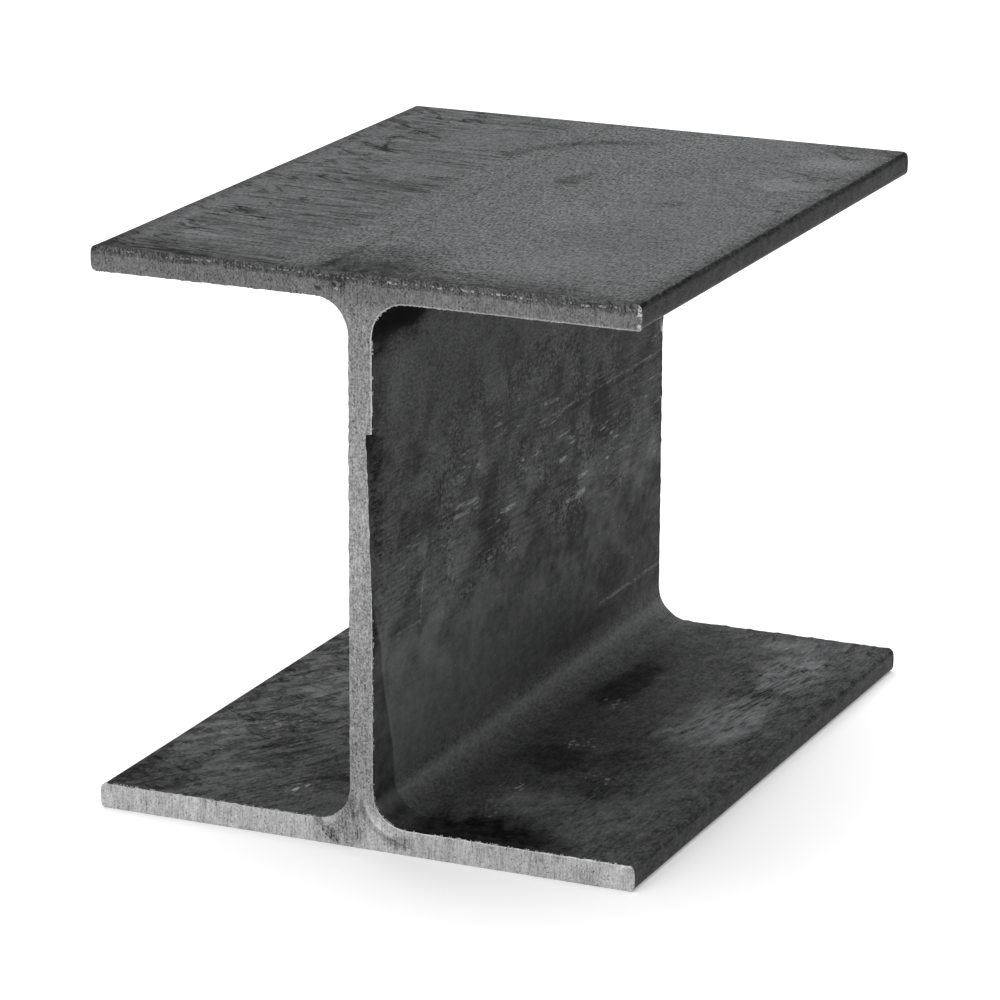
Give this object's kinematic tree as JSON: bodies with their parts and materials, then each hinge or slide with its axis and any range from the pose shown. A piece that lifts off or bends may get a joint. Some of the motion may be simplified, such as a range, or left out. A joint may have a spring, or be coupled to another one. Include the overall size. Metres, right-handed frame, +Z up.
{
  "type": "steel h-beam",
  "caption": "Short sawn length of rolled steel H-beam: two wide parallel flanges joined by a central web with filleted corners, lying on one flange.",
  "frame": {"origin": "middle of the bottom flange's underside, on the floor", "axes": "+X across the flanges, towards the side whose web face carries the nick; +Y along the beam, away from the nicked sawn end; +Z up through the depth of the section"},
  "size_m": [0.152, 0.195, 0.152],
  "materials": {
    "mill_scale_steel": "dark hot-rolled mill scale with a dull sheen; the sawn ends are brighter bare steel with fine saw lines"
  },
  "bodies": {
    "root": {"h_beam": "mill_scale_steel"}
  },
  "joints": []
}
